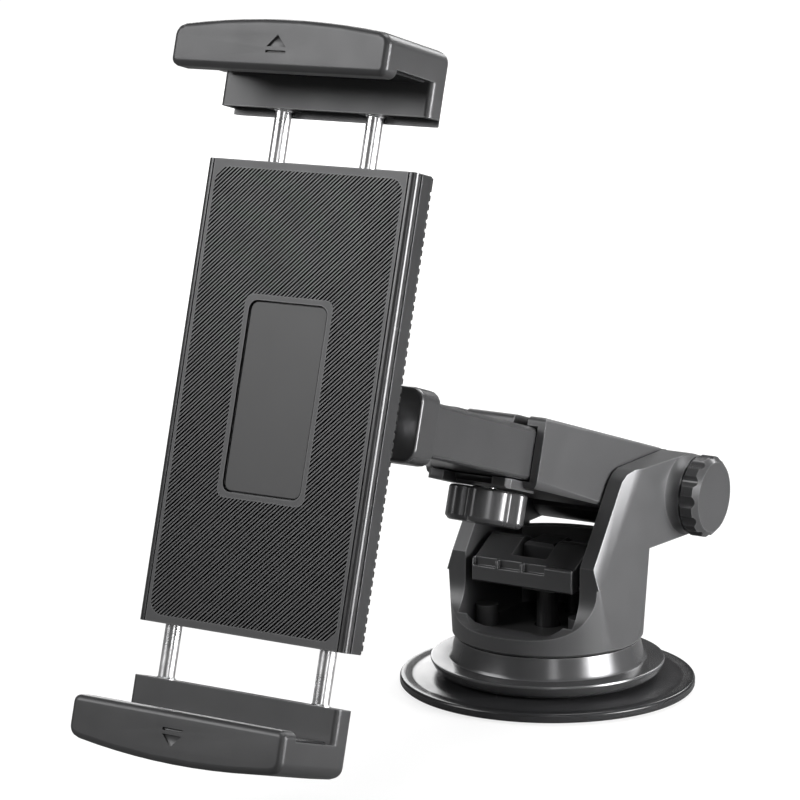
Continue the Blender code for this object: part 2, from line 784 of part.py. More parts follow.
def arm_lock_knob(frame):
    """The four-lobed hand knob under the sleeve, turning about its bolt."""
    top = LOCK_TOP
    low = LOCK_LOW
    sections = []
    for height, shrink in ((top, 0.5), (top - 0.6, 0.0), (low + 1.0, 0.0), (low, 1.0)):
        outline = lobed(4, LOCK_R - shrink, LOCK_R - LOCK_DIP - shrink, 88)
        sections.append([(x, y, height) for x, y in outline])
    bore = rod(LOCK_BOLT_R + GAP, low + 2.0, top + 1, steps=16)
    return piece("arm_lock_knob", loft(sections), "dark_plastic", frame, cut=[bore])


def lock_bolt(frame):
    shape = rod(LOCK_BOLT_R, LOCK_LOW + 2.0 + GAP, INNER_LOW - GAP, steps=16)
    return piece("lock_bolt", shape, "steel", frame)


# Inner arm, end cap and ball stud

def inner_arm(frame):
    outline = rounded(-INNER_HALF, INNER_LOW, INNER_HALF, INNER_TOP, 1.5)
    hollow = rounded(
        INNER_WALL - INNER_HALF, INNER_LOW + INNER_WALL, INNER_HALF - INNER_WALL,
        INNER_TOP - INNER_WALL, 0.8, 2,
    )
    tube = prism(outline, -INNER_END, -INNER_REAR, "y")
    return piece("inner_arm", tube, "dark_plastic", frame, cut=[prism(hollow, -200, 0, "y")])


def arm_end_cap(frame):
    start = INNER_END + GAP
    outline = rounded(-CAP_HALF, CAP_LOW, CAP_HALF, CAP_TOP, 3.6, 4)
    body = prism(outline, -CAP_END, -start, "y")
    bevel(body, 0.9, 2, lambda p: p.y < 0.01 - CAP_END)
    inset = INNER_WALL + GAP
    plug = rounded(
        inset - INNER_HALF, INNER_LOW + inset, INNER_HALF - inset, INNER_TOP - inset, 0.8, 2
    )
    join = [prism(plug, -start - 0.5, CAP_PLUG - start, "y")]
    cut = [rod(SHANK_R + GAP, -200, 0, "y", (0, BALL_V), 20)]
    return piece("arm_end_cap", body, "dark_plastic", frame, join, cut)


def ball_stud(frame):
    """A ball on a neck, with a flange seated on the end cap and a shank through it."""
    base = -CAP_END - GAP
    meet = sqrt(BALL_R**2 - NECK_R**2)
    ball = arc((0, -BALL_S), BALL_R, -90, degrees(asin(meet / BALL_R)), 12)
    profile = [(max(r, 0.0), y) for r, y in ball]
    profile[0] = (0, -BALL_S - BALL_R)
    profile += [
        (NECK_R, base - FLANGE_T - 0.8), (NECK_R + 0.8, base - FLANGE_T),
        (FLANGE_R - 0.4, base - FLANGE_T), (FLANGE_R, base - FLANGE_T + 0.4), (FLANGE_R, base),
        (SHANK_R, base), (SHANK_R, base + 14.0), (0, base + 14.0),
    ]
    shape = lathe(profile, "y", (0, BALL_V), 24)
    return piece("ball_stud", shape, "steel", frame)


# Ball joint liners and socket, about the centre of the ball

def shell(inner, outer, start, end, count):
    """A part of a spherical shell, as a profile of (radius, y): -y is the front."""
    points = arc((0, 0), inner, start - 90, end - 90, count)
    points += arc((0, 0), outer, end - 90, start - 90, count)
    return [(0.0 if r < 1e-4 else r, y) for r, y in points]


def ball_seat(frame):
    profile = shell(BALL_R + GAP, BALL_R + GAP + LINER_T, 0, SEAT_TO, 6)
    return piece("ball_seat", lathe(profile, "y", steps=20), "nylon", frame)


def ball_collar(frame):
    profile = shell(BALL_R + GAP, BALL_R + GAP + LINER_T, COLLAR_FROM, COLLAR_FROM + 30, 4)
    return piece("ball_collar", lathe(profile, "y", steps=20), "nylon", frame)


def socket_bore():
    return BALL_R + 2 * GAP + LINER_T


def plate_y(n):
    """The y of a height above the plate's face, in the holder's frame."""
    return -(n + BALL_BACK)


def ball_socket(frame):
    bore = socket_bore()
    outer = bore + SOCKET_WALL
    front = plate_y(-PLATE_D - GAP - COVER_T - GAP)
    profile = [(0.0 if r < 1e-4 else r, y) for r, y in arc((0, 0), bore, -90, 0, 7)]
    profile += [(bore, 1.0), (outer, 1.0), (outer, front + 1.5), (outer + 2.5, front + 1.5)]
    profile += [(outer + 2.5, front), (0, front)]
    return piece("ball_socket", lathe(profile, "y", steps=28), "dark_plastic", frame)


def lock_ring(frame):
    bore = socket_bore()
    inner = bore + SOCKET_WALL + GAP
    outer = inner + LOCK_RING_WALL
    front = plate_y(-PLATE_D - GAP - COVER_T - GAP) + 1.5 + 2 * GAP
    step = 1.0 + GAP
    lip = arc((0, 0), bore, degrees(asin(step / bore)), 28, 3)
    profile = [(inner, front), (outer, front), (outer, 5.4), (outer - 0.8, 6.2)]
    profile += [(lip[-1][0] + 0.2, 6.2), *lip[::-1], (inner, step)]
    return piece("lock_ring", lathe(profile, "y", steps=28), "dark_plastic", frame)


# Holder plate

def holder_frame(frame):
    half = PLATE_HALF
    back, face = plate_y(-PLATE_D), plate_y(0)
    groove = plate_y(-2.3)
    right = [
        (half, back), (half, groove + 0.4), (half - 0.5, groove + 0.4), (half - 0.5, groove - 0.4),
        (half, groove - 0.4), *arc((half - RAIL_ROUND, face + RAIL_ROUND), RAIL_ROUND, 0, -90, 5),
        (PANEL_HALF + GAP, face), (PANEL_HALF + GAP, face + PANEL_T + GAP),
    ]
    outline = right + [(-x, y) for x, y in right[::-1]]
    body = prism(outline, -PLATE_H, PLATE_H, "z")
    inner_x = half - FRAME_WALL
    low, high = -PLATE_H + END_WALL, PLATE_H - END_WALL
    label = LABEL_SINK + LABEL_T + GAP
    hollow = box((-inner_x, plate_y(-FACE_WALL), low), (inner_x, back + 5, high))
    island = box(
        (-LABEL_HALF - 0.8, plate_y(-FACE_WALL) - 0.2, -LABEL_H - 0.8),
        (LABEL_HALF + 0.8, plate_y(-LABEL_WALL), LABEL_H + 0.8),
    )
    made = raw("holder_frame", body)
    combine(made, "DIFFERENCE", [hollow])
    combine(made, "UNION", [island])
    cuts = [
        box(
            (-LABEL_HALF - GAP, face - 1, -LABEL_H - GAP),
            (LABEL_HALF + GAP, plate_y(-label), LABEL_H + GAP),
        ),
    ]
    for sign in (-1, 1):
        spot = (sign * UPPER_ROD_R, plate_y(ROD_N))
        cuts.append(rod(ROD_R + GAP, 0, 100, centre=spot, steps=20))
        spot = (sign * LOWER_ROD_R, plate_y(ROD_N))
        cuts.append(rod(ROD_R + GAP, -100, 0, centre=spot, steps=20))
    combine(made, "DIFFERENCE", cuts)
    return finish(made, "grey_plastic", frame, 50)


def front_panel(frame):
    face = plate_y(0)
    body = box((-PANEL_HALF, face, -PLATE_H), (PANEL_HALF, face + PANEL_T, PLATE_H))
    edge = GAP / 2
    outline = rounded(
        -LABEL_HALF - edge, -LABEL_H - edge, LABEL_HALF + edge, LABEL_H + edge,
        LABEL_CORNER + edge, 5,
    )
    return piece("front_panel", body, "grey_plastic", frame, cut=[prism(outline, -60, 60, "y")])


def label_plate(frame):
    face = plate_y(-LABEL_SINK)
    edge = GAP / 2
    outline = rounded(
        edge - LABEL_HALF, edge - LABEL_H, LABEL_HALF - edge, LABEL_H - edge,
        LABEL_CORNER - edge, 5,
    )
    return piece("label_plate", prism(outline, face, face + LABEL_T, "y"), "dark_plastic", frame)


def back_cover(frame):
    low = plate_y(-PLATE_D - GAP)
    half = PLATE_HALF - 0.5
    body = box((-half, low, 0.2 - PLATE_H), (half, low + COVER_T, PLATE_H - 0.2))
    return piece("back_cover", body, "dark_plastic", frame)


def guide_span():
    """The two ends of a rod guide, from the plate's middle."""
    top = PLATE_H - END_WALL - GAP
    return top - GUIDE_T, top


def rod_guide(frame, name, sign, spacing):
    """A bar across the plate's end with a channel for each rod, open at the back."""
    near, far = guide_span()
    half = PLATE_HALF - FRAME_WALL - GAP
    low, high = sorted((sign * near, sign * far))
    body = box((-half, plate_y(-FACE_WALL - GAP), low), (half, plate_y(-PLATE_D), high))
    middle = plate_y(ROD_N)
    reach = ROD_R + GAP / 2
    cuts = []
    for side in (-1, 1):
        r = side * spacing
        channel = arc((r, middle), reach, 180, 360, 10)
        channel += [(r + reach, middle + 10), (r - reach, middle + 10)]
        cuts.append(prism(channel, low - 1, high + 1, "z"))
    return piece(f"rod_guide_{name}", body, "nylon", frame, cut=cuts)


# Jaws. Each is built as the upper one and mirrored for the lower

def crown(foot, count=10):
    """A jaw's outline in r and u: this right foot, rounded shoulders and an arched top."""
    half = JAW_HALF
    rise = JAW_CROWN - JAW_EDGE
    points = []
    for i in range(count + 1):
        r = (half - LIP_ROUND) * (1 - 2 * i / count)
        points.append((r, JAW_EDGE + rise * (1 - (r / half) ** 2)))
    shoulder = (half - LIP_ROUND, JAW_EDGE - LIP_ROUND + 0.3)
    right = foot + arc(shoulder, LIP_ROUND, 0, 60, 5)
    return right + points + [(-x, y) for x, y in right[::-1]]


def jaw_half(n):
    """Half the jaw's width at this height above the plate's face."""
    share = (LIP_OUT - n) / (LIP_OUT - JAW_BACK)
    return JAW_HALF + (JAW_BACK_HALF - JAW_HALF) * share


def narrow(mesh):
    """Draws a jaw's shape in towards its back."""
    for vert in mesh.vertices:
        vert.co.x *= jaw_half(-vert.co.y - BALL_BACK) / JAW_HALF


def jaw_shapes(skirt):
    """The arched roof, the lip and the block of the upper jaw."""
    back, front = plate_y(JAW_BACK), plate_y(LIP_OUT)
    half = JAW_HALF
    roof = prism(crown([(half, ROOF_LOW)]), plate_y(LIP_IN + 1.0), back, "y")
    bevel(roof, JAW_BACK_ROUND, 3, lambda p: abs(p.y - back) < 0.01)
    turn = LIP_FOOT_ROUND
    foot = arc((half - turn, LIP_LOW + turn), turn, -90, 0, 5)
    lip = prism(crown(foot), front, plate_y(LIP_IN), "y")
    bevel(lip, LIP_EDGE, 3, lambda p: abs(p.y - front) < 0.01)
    turn = JAW_BACK_ROUND
    block = arc((half - turn, back - turn), turn, 90, 0, 4)
    turn = BLOCK_ROUND
    block += arc((half - turn, plate_y(BLOCK_FRONT) + turn), turn, 0, -90, 4)
    block += [(-x, y) for x, y in block[::-1]]
    block = prism(block, BLOCK_LOW - skirt, ROOF_LOW + JAW_BACK_ROUND + 0.4, "z")
    return roof, lip, block


def jaw(frame, name, up, spacing, skirt=0.0):
    """A jaw and its pad. A skirt makes the block's rear wall reach further than its front."""
    turn = Matrix.Diagonal((1, 1, up, 1))
    roof, lip, block = jaw_shapes(skirt)
    y = plate_y(ROD_N)
    cuts = [
        box(
            (-SEAT_HALF - GAP, plate_y(LIP_IN - 0.4), ROOF_LOW - 1),
            (SEAT_HALF + GAP, plate_y(0.2) + GAP, ROOF_LOW + SEAT_T - GAP),
        )
    ]
    if skirt:
        low = (-JAW_HALF - 1, plate_y(BLOCK_FRONT) - 1, BLOCK_LOW - skirt - 1)
        cuts.append(box(low, (JAW_HALF + 1, plate_y(JAW_BACK + SKIRT_WALL), BLOCK_LOW)))
    pillar = COLLAR_R + 1.4
    side = JAW_BACK_HALF - 1.6
    edges = [-side, -spacing - pillar, -spacing + pillar, spacing - pillar, spacing + pillar, side]
    for left, right in zip(edges[::2], edges[1::2]):
        if right - left > 1.0:
            low = (left, plate_y(BLOCK_FRONT - SKIRT_WALL), BLOCK_LOW - 1)
            cuts.append(box(low, (right, plate_y(JAW_BACK + SKIRT_WALL), ROOF_LOW - 1.0)))
    for side in (-1, 1):
        spot = (side * spacing, y)
        cuts.append(rod(ROD_R + GAP, BLOCK_LOW - 1, ROD_TOP + GAP, centre=spot, steps=20))
        top = COLLAR_TOP + GAP
        cuts.append(rod(COLLAR_R + GAP, BLOCK_LOW - 1, top, centre=spot, steps=20))
    shapes = [moved(shape, turn) for shape in (roof, lip, block, *cuts)]
    made = raw(name, shapes[0])
    combine(made, "UNION", shapes[1:3])
    narrow(made.data)
    combine(made, "DIFFERENCE", shapes[3:])
    finish(made, "grey_plastic", frame, 30)
    pad = box(
        (-SEAT_HALF, plate_y(LIP_IN - 0.4 - GAP), ROOF_LOW - GAP * 2),
        (SEAT_HALF, plate_y(0.2), ROOF_LOW + SEAT_T - 2 * GAP),
    )
    piece(f"{name}_pad", moved(pad, turn), "black_rubber", frame)


def rods(frame, name, up, spacing):
    """Two guide rods, each with the collar that stops it in the jaw's block."""
    turn = Matrix.Diagonal((1, 1, up, 1))
    tail = ROD_TOP - ROD_LENGTH
    for side, label in ((-1, "left"), (1, "right")):
        profile = [
            (0, tail), (ROD_R - 0.5, tail), (ROD_R, tail + 0.5), (ROD_R, COLLAR_LOW),
            (COLLAR_R - 0.3, COLLAR_LOW), (COLLAR_R, COLLAR_LOW + 0.3), (COLLAR_R, COLLAR_TOP),
            (ROD_R, COLLAR_TOP), (ROD_R, ROD_TOP), (0, ROD_TOP),
        ]
        spot = (side * spacing, plate_y(ROD_N))
        shape = moved(lathe(profile, centre=spot, steps=20), turn)
        piece(f"{name}_rod_{label}", shape, "chromed_steel", frame)


def springs(frame, name, up, spacing):
    """Two extension springs from the rods' inner ends to the far guide."""
    turn = Matrix.Diagonal((1, 1, up, 1))
    low = -guide_span()[0] + GAP
    high = ROD_TOP - ROD_LENGTH - GAP
    for side, label in ((-1, "left"), (1, "right")):
        spot = (side * spacing, plate_y(ROD_N))
        shape = moved(coil(1.3, SPRING_WIRE / 2, low, high, 8.0, spot, 4, 7), turn)
        piece(f"{name}_spring_{label}", shape, "spring_steel", frame)


# Frames of the assembly

def arm_matrix():
    origin = Vector((0, PIVOT_Y, PIVOT_Z)) * MM
    return Matrix.Translation(origin) @ Matrix.Rotation(radians(-ARM_PITCH), 4, "X")


def holder_matrix():
    ball = arm_matrix() @ (Vector((0, -BALL_S, BALL_V)) * MM)
    turn = Matrix.Rotation(radians(YAW), 4, "Z") @ Matrix.Rotation(radians(-LEAN), 4, "X")
    return Matrix.Translation(ball) @ turn @ Matrix.Rotation(radians(-ROLL), 4, "Y")


def build_foot():
    gel_pad()
    suction_cup()
    base_ring()
    base_screws()
    cup_spring()
    base_housing()
    pivot_parts()
    lever_pins()
    lever = empty("LEVER", Matrix.Translation(Vector((0, LEVER_Y, LEVER_Z)) * MM))
    suction_lever(lever)
    crank_pin(lever)
    lift_stem()


def build_arm():
    frame = empty("ARM", arm_matrix())
    pivot_knob(frame)
    pivot_bolt(frame)
    arm_sleeve(frame)
    offset = Vector((0, -LOCK_S, 0)) * MM
    lock = empty("LOCK", arm_matrix() @ Matrix.Translation(offset))
    arm_lock_knob(lock)
    lock_bolt(lock)
    inner_arm(frame)
    arm_end_cap(frame)
    ball_stud(frame)


def build_holder():
    frame = empty("HOLDER", holder_matrix())
    ball_seat(frame)
    ball_collar(frame)
    ball_socket(frame)
    lock_ring(frame)
    holder_frame(frame)
    front_panel(frame)
    label_plate(frame)
    back_cover(frame)
    rod_guide(frame, "upper", 1, UPPER_ROD_R)
    rod_guide(frame, "lower", -1, LOWER_ROD_R)
    for name, up, spacing in (("upper", 1, UPPER_ROD_R), ("lower", -1, LOWER_ROD_R)):
        jaw(frame, f"{name}_jaw", up, spacing, UPPER_SKIRT if up > 0 else 0.0)
        rods(frame, name, up, spacing)
        springs(frame, name, up, spacing)


for old in list(bpy.data.objects):
    bpy.data.objects.remove(old)
build_foot()
build_arm()
build_holder()
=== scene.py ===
"""A suction-foot car mount with a sprung two-jaw holder: its visual model.

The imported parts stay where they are. Each one that shows is rounded, grained and finished
here, and the small things that the parts leave out are modelled on them.
"""
import json
from math import cos, pi, radians, sin

import bmesh
import bpy
from mathutils import Matrix, Vector


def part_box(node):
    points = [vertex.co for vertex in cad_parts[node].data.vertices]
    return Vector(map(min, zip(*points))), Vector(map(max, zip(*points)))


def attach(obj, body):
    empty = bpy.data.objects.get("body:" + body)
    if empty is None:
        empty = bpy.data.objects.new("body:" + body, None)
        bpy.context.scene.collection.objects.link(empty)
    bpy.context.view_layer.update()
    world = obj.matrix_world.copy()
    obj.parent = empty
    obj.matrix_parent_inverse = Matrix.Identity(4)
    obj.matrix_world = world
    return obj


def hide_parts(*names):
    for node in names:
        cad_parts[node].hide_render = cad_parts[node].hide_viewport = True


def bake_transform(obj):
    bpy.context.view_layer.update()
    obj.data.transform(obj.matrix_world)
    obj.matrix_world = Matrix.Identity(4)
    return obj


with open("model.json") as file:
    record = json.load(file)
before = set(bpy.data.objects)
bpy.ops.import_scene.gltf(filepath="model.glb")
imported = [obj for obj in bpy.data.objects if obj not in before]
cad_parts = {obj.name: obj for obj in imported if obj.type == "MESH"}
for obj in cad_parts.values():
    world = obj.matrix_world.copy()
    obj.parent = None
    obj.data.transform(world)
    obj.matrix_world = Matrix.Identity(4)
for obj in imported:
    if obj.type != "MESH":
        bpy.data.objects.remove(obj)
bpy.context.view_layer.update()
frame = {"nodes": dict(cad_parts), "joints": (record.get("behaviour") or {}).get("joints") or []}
bpy.ops.object.select_all(action="DESELECT")


# ---------------------------------------------------------------- the studio
# A pale floor in a dim pale room, with seven soft lamps round the object. The camera
# stands to the right of the holder, a little above it.

def direction(turn, lift):
    """The unit vector toward this azimuth and height, in degrees from the object's front."""
    turn, lift = radians(turn), radians(lift)
    return Vector((sin(turn) * cos(lift), -cos(turn) * cos(lift), sin(lift)))


camera_turn, camera_lift = 31.04, 12.18
camera_place = (0.48902, -0.88821, 0.295)
camera_data = bpy.data.cameras.new("camera")
camera_data.lens = 178.93
camera_data.sensor_width = 36.0
camera_data.clip_start = 0.01
camera = bpy.data.objects.new("camera", camera_data)
bpy.context.scene.collection.objects.link(camera)
away = direction(camera_turn, camera_lift)
right = direction(camera_turn + 90.0, 0.0)
aim = Matrix((right, away.cross(right), away)).transposed().to_4x4()
camera.matrix_world = Matrix.Translation(camera_place) @ aim
bpy.context.scene.camera = camera
bpy.context.scene.view_settings.view_transform = "Standard"


def lamp(name, turn, lift, reach, width, height, power, spread=180.0, middle=(0, -0.05, 0.09)):
    """A soft rectangular lamp that faces this middle from this azimuth, height and distance."""
    back = direction(turn, lift)
    data = bpy.data.lights.new(name, "AREA")
    data.shape = "RECTANGLE"
    data.size = width
    data.size_y = height
    data.energy = power
    data.spread = radians(spread)
    made = bpy.data.objects.new(name, data)
    made.location = Vector(middle) + back * reach
    made.rotation_euler = back.to_track_quat("Z", "Y").to_euler()
    bpy.context.scene.collection.objects.link(made)


lamp("front", turn=-44.0, lift=30.0, reach=1.6, width=0.8, height=0.8, power=12.4)
lamp("front_right", turn=38.0, lift=17.0, reach=1.2, width=0.14, height=0.5, power=1.2)
lamp("right", turn=88.0, lift=6.0, reach=1.0, width=0.4, height=0.4, power=3.7)
lamp(
    "base_right", turn=91.0, lift=8.0, reach=0.5, width=0.26, height=0.26, power=0.8,
    spread=60.0, middle=(0, 0.04, 0.07),
)
lamp("left_rim", turn=-140.0, lift=16.0, reach=1.2, width=0.4, height=0.8, power=4.0)
lamp("back", turn=176.0, lift=30.0, reach=1.2, width=0.6, height=0.4, power=6.0)
lamp("overhead", turn=180.0, lift=76.0, reach=1.2, width=0.7, height=0.7, power=8.0)


def feed(tree, node, inputs):
    """Sets each of these inputs to its value, or links it to another node's output."""
    for key, value in inputs.items():
        if isinstance(value, bpy.types.NodeSocket):
            tree.links.new(value, node.inputs[key])
        else:
            node.inputs[key].default_value = value


def shader(tree, kind, inputs=None, **settings):
    """A new shader node with these settings and inputs."""
    node = tree.nodes.new("ShaderNode" + kind)
    for key, value in settings.items():
        setattr(node, key, value)
    feed(tree, node, inputs or {})
    return node


# The room is dim to the object and white to the camera.
white = (1.0, 1.0, 1.0, 1.0)
room_light = 0.07
world = bpy.data.worlds.new("room")
bpy.context.scene.world = world
world.use_nodes = True
air = world.node_tree
air.nodes.clear()
rays = shader(air, "LightPath").outputs
seen = shader(
    air, "Math", {0: rays["Is Camera Ray"], 1: rays["Is Transmission Ray"]}, operation="MAXIMUM"
)
strength = shader(
    air, "MapRange", {"Value": seen.outputs[0], "To Min": room_light, "To Max": 1.0}
)
sky = shader(air, "Background", {"Color": white, "Strength": strength.outputs["Result"]})
shader(air, "OutputWorld", {"Surface": sky.outputs["Background"]})


def blank(name):
    """A new material, its node tree and its surface."""
    made = bpy.data.materials.new(name)
    made.use_nodes = True
    return made, made.node_tree, made.node_tree.nodes["Principled BSDF"]


# The floor glows to the camera only, and the glow grows to white away from the object.
floor_width, floor_level, floor_tone = 8.0, -0.0004, 0.22
glow_near, glow_far = 0.78, 1.0
fade_start, fade_end = 0.1, 0.6
bpy.ops.mesh.primitive_plane_add(size=floor_width, location=(0.0, 0.0, floor_level))
floor = bpy.context.active_object
floor.name = "floor"
paper, tree, surface = blank("pale_paper")
place = shader(tree, "TexCoord").outputs["Object"]
distance = shader(tree, "VectorMath", {0: place}, operation="LENGTH")
glow = shader(
    tree, "MapRange",
    {
        "Value": distance.outputs["Value"], "From Min": fade_start, "From Max": fade_end,
        "To Min": glow_near, "To Max": glow_far,
    },
)
rays = shader(tree, "LightPath").outputs
seen_glow = shader(
    tree, "Math", {0: rays["Is Camera Ray"], 1: glow.outputs["Result"]}, operation="MULTIPLY"
)
feed(
    tree, surface,
    {
        "Base Color": (floor_tone, floor_tone, floor_tone, 1.0), "Roughness": 0.9,
        "Specular IOR Level": 0.1, "Emission Color": white,
        "Emission Strength": seen_glow.outputs[0],
    },
)
floor.data.materials.append(paper)


# ------------------------------------------------------- the suction cup
# A 78 mm cup of soft black PVC, moulded in one piece and polished by its mould. A thin
# flange rolls out from under the pressure ring to a squared rim, and the boss in its
# middle holds the lift stem's foot.

def tinted(colour, gain=1.0, lift=0.0):
    """A colour, brighter or darker, as a shader takes it."""
    return (*[min(c * gain + lift, 1.0) for c in colour], 1.0)


def grained(name, colour, roughness, grain, depth, mottle, edge_highlight=0.0, metal=0.0):
    """A moulded finish: a fine grain, uneven gloss and, if asked, a painted highlight that makes
    its rounded edges paler.
    """
    made, tree, surface = blank(name)
    place = shader(tree, "TexCoord").outputs["Object"]
    cloud = shader(tree, "TexNoise", {"Vector": place, "Scale": 120.0, "Detail": 5.0})
    uneven = cloud.outputs["Fac"]
    tint = shader(
        tree, "Mix",
        {"Factor": uneven, "A": tinted(colour, 1 - mottle), "B": tinted(colour, 1 + mottle)},
        data_type="RGBA",
    )
    skin = tint.outputs["Result"]
    gloss = shader(
        tree, "MapRange",
        {"Value": uneven, "To Min": roughness - 0.07, "To Max": roughness + 0.07},
    )
    pits = shader(tree, "TexNoise", {"Vector": place, "Scale": grain, "Detail": 3.0})
    bump = shader(
        tree, "Bump", {"Height": pits.outputs["Fac"], "Strength": 0.6, "Distance": depth}
    )
    # A painted highlight: the colour is made paler along rounded edges, where light would catch
    # them.
    if edge_highlight:
        rounded = shader(tree, "Bevel", {"Radius": 0.0006}, samples=4).outputs["Normal"]
        flat = shader(tree, "NewGeometry").outputs["Normal"]
        flatness = shader(tree, "VectorMath", {0: rounded, 1: flat}, operation="DOT_PRODUCT")
        edge = shader(
            tree, "MapRange",
            {
                "Value": flatness.outputs["Value"], "From Min": 1.0, "From Max": 0.9,
                "To Max": edge_highlight,
            },
        )
        painted_edge_light = shader(
            tree, "Mix",
            {"Factor": edge.outputs["Result"], "A": skin, "B": tinted(colour, 3.0, 0.03)},
            data_type="RGBA",
        )
        skin = painted_edge_light.outputs["Result"]
    feed(
        tree, surface,
        {
            "Base Color": skin, "Roughness": gloss.outputs["Result"],
            "Normal": bump.outputs["Normal"], "Specular IOR Level": 0.45, "Metallic": metal,
        },
    )
    return made


def coat(piece, slot, finish, *nodes):
    """Gives a piece its material and hides the parts that it stands for; its slot is not used."""
    piece.data.materials.clear()
    piece.data.materials.append(finish)
    if nodes:
        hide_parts(*nodes)


def fit(piece, body, slot, finish, *nodes):
    """Coats a finished piece and lets it ride on its body."""
    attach(piece, body)
    coat(piece, slot, finish, *nodes)


def pick(piece):
    """Makes a piece the active one and the only one that is selected."""
    bpy.ops.object.select_all(action="DESELECT")
    piece.select_set(True)
    bpy.context.view_layer.objects.active = piece


def soften(piece, width, segments=3, angle=30.0, smooth=40.0):
    """Rounds a piece's edges and keeps its flat faces flat."""
    pick(piece)
    if width:
        edge = piece.modifiers.new("edges", "BEVEL")
        edge.width = width
        edge.segments = segments
        edge.limit_method = "ANGLE"
        edge.angle_limit = radians(angle)
        edge.miter_outer = "MITER_ARC"
        bpy.ops.object.modifier_apply(modifier="edges")
    bpy.ops.object.shade_smooth_by_angle(angle=radians(smooth))
    weigh = piece.modifiers.new("normals", "WEIGHTED_NORMAL")
    weigh.keep_sharp = True
    weigh.weight = 50
    bpy.ops.object.modifier_apply(modifier="normals")
    return piece


def newest(name):
    """The object that an operator has just added, under this name."""
    piece = bpy.context.active_object
    piece.name = name
    piece.data.name = name
    return piece


def face_out(piece):
    """Turns the faces of a closed mesh outward."""
    pick(piece)
    bpy.ops.object.mode_set(mode="EDIT")
    bpy.ops.mesh.select_all(action="SELECT")
    bpy.ops.mesh.normals_make_consistent(inside=False)
    bpy.ops.object.mode_set(mode="OBJECT")


def turned(name, profile, steps=160):
    """A piece turned ring by ring from a profile of (radius, height). Its two ends are capped,
    or joined where the profile comes back to its start."""
    bpy.ops.object.select_all(action="DESELECT")
    start, height = profile[0]
    bpy.ops.mesh.primitive_circle_add(
        vertices=steps, radius=start, fill_type="NGON", location=(0, 0, height)
    )
    piece = newest(name)
    bpy.ops.object.transform_apply(location=True, rotation=False, scale=False)
    bpy.ops.object.mode_set(mode="EDIT")
    bpy.ops.mesh.select_mode(type="EDGE")
    bpy.ops.mesh.select_all(action="SELECT")
    for (radius, low), (wider, high) in zip(profile, profile[1:]):
        bpy.ops.mesh.extrude_region_move(TRANSFORM_OT_translate={"value": (0, 0, high - low)})
        swell = wider / radius
        bpy.ops.transform.resize(value=(swell, swell, 1), center_override=(0, 0, high))
    if profile[0] == profile[-1]:
        bpy.ops.mesh.select_mode(type="FACE")
        bpy.ops.mesh.select_all(action="DESELECT")
        edit = bmesh.from_edit_mesh(piece.data)
        for face in edit.faces:
            face.select = len(face.verts) == steps
        bmesh.update_edit_mesh(piece.data)
        bpy.ops.mesh.delete(type="ONLY_FACE")
        bpy.ops.mesh.select_all(action="SELECT")
        bpy.ops.mesh.remove_doubles(threshold=0.000001)
    bpy.ops.object.mode_set(mode="OBJECT")
    face_out(piece)
    return piece


rubber = grained(
    "black_rubber", (0.020, 0.020, 0.021), roughness=0.24, grain=900.0, depth=0.00002, mottle=0.3
)
low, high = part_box("suction_cup")
rim = high.x
boss, boss_top = 0.0086, high.z
mouth, pocket = 0.0036, 0.0063
pocket_floor, pocket_roof = 0.0037, boss_top - 0.0015
cup = turned(
    "suction_cup_shown",
    [
        # the squared rim
        (rim - 0.0017, 0.0015), (rim - 0.0017, 0.0002), (rim - 0.0004, 0.0002),
        (rim, 0.0006), (rim, 0.0021), (rim - 0.0004, 0.0026), (rim - 0.0016, 0.00265),
        # the flange, with a shallow dish inside the rim
        (rim - 0.0030, 0.0024), (rim - 0.0042, 0.0024), (rim - 0.0056, 0.0028),
        (rim - 0.0090, 0.00325), (boss + 0.0010, 0.0034),
        # the boss and its pocket
        (boss, 0.0044), (boss, boss_top - 0.0005), (boss - 0.0005, boss_top),
        (mouth, boss_top), (mouth, pocket_roof), (pocket, pocket_roof), (pocket, pocket_floor),
    ],
)
soften(cup, 0.00015, segments=2, angle=20.0, smooth=50.0)
fit(cup, "base", "black_rubber", rubber, "suction_cup")


# ------------------------------------------------------- the gel disc
# A thin disc of clear, tacky gel bonded under the cup. It fills the small unevenness of
# what the cup stands on, so that the cup holds.

def carried(slot, finish, *nodes):
    """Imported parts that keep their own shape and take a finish."""
    for node in nodes:
        coat(frame["nodes"][node], slot, finish)


gel = grained(
    "clear_gel", (0.35, 0.36, 0.36), roughness=0.12, grain=400.0, depth=0.00001, mottle=0.1
)
carried("clear_gel", gel, "gel_pad")


# ------------------------------------------------------- the pressure ring
# A bowl-sided ring of black nylon that presses the cup down. It has a rolled foot, a narrow
# shelf and a neck that runs up under the housing, and three screws hold it there.

def cut(piece, tool, operation="DIFFERENCE"):
    """Cuts one mesh with another and removes the tool."""
    made = piece.modifiers.new("cut", "BOOLEAN")
    made.operation = operation
    made.solver = "EXACT"
    made.object = tool
    pick(piece)
    bpy.ops.object.modifier_apply(modifier="cut")
    bpy.data.objects.remove(tool)


